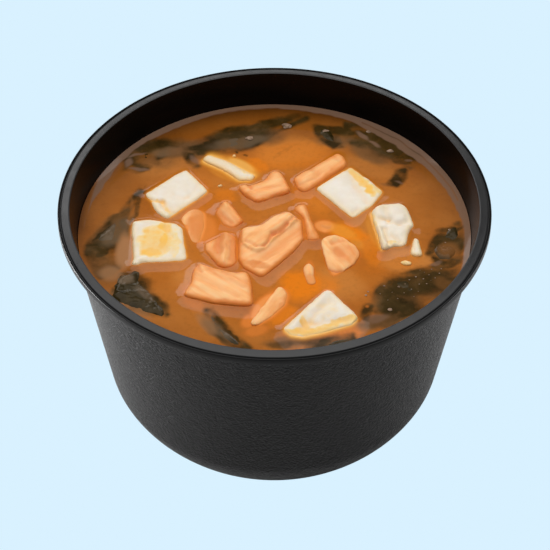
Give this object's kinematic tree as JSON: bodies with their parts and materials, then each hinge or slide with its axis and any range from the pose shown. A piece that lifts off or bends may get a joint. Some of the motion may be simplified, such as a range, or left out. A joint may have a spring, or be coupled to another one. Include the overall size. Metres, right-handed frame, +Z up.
{
  "type": "bowl of miso soup",
  "caption": "Round black plastic soup bowl filled with orange miso broth holding tofu cubes, salmon chunks and dark wakame leaves.",
  "frame": {"origin": "middle of the bowl's underside, on the surface it stands on", "axes": "+Z up along the bowl's axis; -Y towards the viewer, +X to the viewer's right"},
  "size_m": [0.118, 0.118, 0.07],
  "materials": {
    "bowl_plastic": "black polypropylene, leather-grained outside, smooth satin rim and inside",
    "broth": "cloudy orange liquid with a wet, glossy surface",
    "tofu": "soft, fine-grained bean curd with yellow broth stains",
    "salmon": "cooked fish, faintly layered, moist",
    "wakame": "thin dark seaweed, wet and glossy"
  },
  "bodies": {
    "root": {"bowl": "bowl_plastic", "tofu_back_left": "tofu", "tofu_left": "tofu", "tofu_back_sunk": "tofu", "tofu_back_right": "tofu", "tofu_right_torn": "tofu", "tofu_right_crumb": "tofu", "tofu_front": "tofu", "salmon_back": "salmon", "salmon_back_right": "salmon", "salmon_left_sunk": "salmon", "salmon_left_small": "salmon", "salmon_left_wedge": "salmon", "salmon_middle": "salmon", "salmon_strip": "salmon", "salmon_right_tip": "salmon", "salmon_right": "salmon", "salmon_finger": "salmon", "salmon_front_slab": "salmon", "salmon_front_sliver": "salmon", "broth": "broth", "wakame_back_left": "wakame", "wakame_back": "wakame", "wakame_back_curl": "wakame", "wakame_back_small": "wakame", "wakame_back_right": "wakame", "wakame_right_small": "wakame", "wakame_right": "wakame", "wakame_front_right": "wakame", "wakame_bit": "wakame", "wakame_strand": "wakame", "wakame_left": "wakame", "wakame_front_left": "wakame", "wakame_front_strand": "wakame", "wakame_front": "wakame"}
  },
  "joints": []
}
